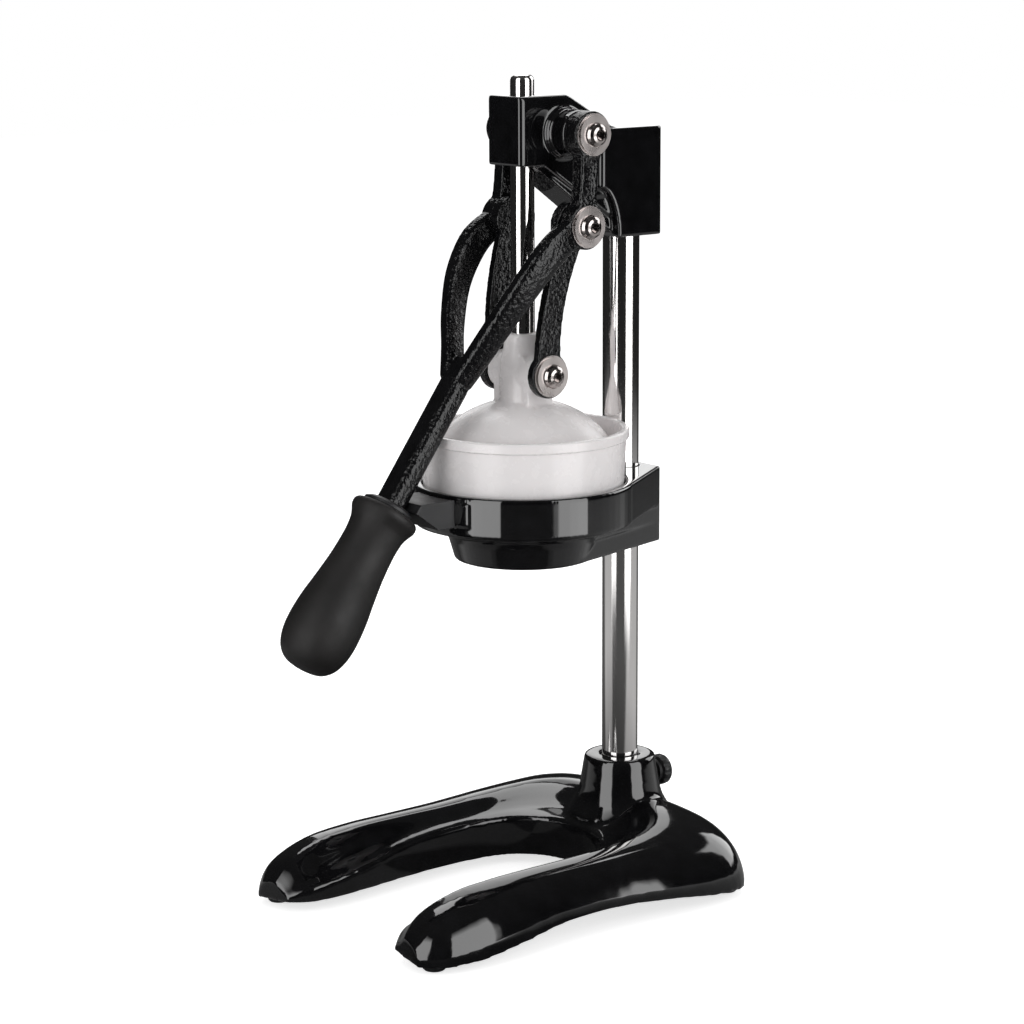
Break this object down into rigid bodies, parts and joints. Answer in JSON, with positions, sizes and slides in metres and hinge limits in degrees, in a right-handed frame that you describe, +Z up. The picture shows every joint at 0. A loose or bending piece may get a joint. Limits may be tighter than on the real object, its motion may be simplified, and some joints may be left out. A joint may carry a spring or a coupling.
{
  "type": "lever citrus juice press",
  "caption": "Free-standing lever juicer: a forked handle drives a sliding bell down into a cup on a bracketed column above a horseshoe base.",
  "frame": {"origin": "on the table under the middle of the outline, on the press's plane of symmetry", "axes": "+X across the press, +Y to its rear (the column side), +Z up; the handle is at -Y"},
  "size_m": [0.21, 0.2875, 0.4895],
  "materials": {
    "enamel": "gloss black enamel over cast metal",
    "chrome": "bright chrome plating",
    "rubber": "soft matt black rubber",
    "knob_plastic": "black moulded plastic",
    "white_plastic": "white food-grade plastic, soft gloss",
    "stainless": "bright stainless steel"
  },
  "bodies": {
    "frame": {"base_casting": "enamel", "foot_pads": "rubber", "column_plug": "stainless", "base_bolt": "stainless", "base_washer": "stainless", "column_tube": "chrome", "cup_bracket": "enamel", "bracket_set_screws": "stainless", "lever_rest": "rubber", "juice_cup": "white_plastic", "reamer": "white_plastic", "head_casting": "enamel", "head_set_screws": "stainless", "pivot1_screws": "stainless", "pivot1_washers": "stainless"},
    "thumbscrew": {"base_knob": "knob_plastic"},
    "lever": {"lever_yoke": "enamel", "pivot1_bushes": "stainless", "pivot2_screws": "stainless", "pivot2_washers": "stainless", "pivot2_bushes": "stainless", "grip_collar": "rubber", "handle_grip": "rubber"},
    "press": {"press_bell": "white_plastic", "cross_sleeve": "stainless", "press_rod": "chrome", "pivot3_screws": "stainless", "pivot3_washers": "stainless"},
    "left_link": {"link_left": "enamel", "link_bush_left": "stainless"},
    "right_link": {"link_right": "enamel", "link_bush_right": "stainless"}
  },
  "joints": [
    {"name": "lever_hinge", "type": "hinge", "parent": "frame", "child": "lever", "pos_m": [0, 0.0459, 0.456], "axis": [-1, 0, 0], "range_deg": [0, 100]},
    {"name": "press_slide", "type": "slide", "parent": "frame", "child": "press", "axis": [0, 0, 1], "range_m": [0, 0.07018]},
    {"name": "left_link_hinge", "type": "hinge", "parent": "press", "child": "left_link", "pos_m": [0, 0.0269, 0.31694], "axis": [1, 0, 0], "range_deg": [0, 31.07]},
    {"name": "right_link_hinge", "type": "hinge", "parent": "press", "child": "right_link", "pos_m": [0, 0.0269, 0.31694], "axis": [1, 0, 0], "range_deg": [0, 31.07]},
    {"name": "thumbscrew_turn", "type": "hinge", "parent": "frame", "child": "thumbscrew", "pos_m": [0, 0.1024, 0.055], "axis": [0, 1, 0], "continuous": true}
  ],
  "couplings": [
    {"joint": "press_slide", "follows": "lever_hinge", "m_per_rad": 0.040156},
    {"joint": "left_link_hinge", "follows": "lever_hinge", "ratio": 0.31015},
    {"joint": "right_link_hinge", "follows": "lever_hinge", "ratio": 0.31015}
  ]
}
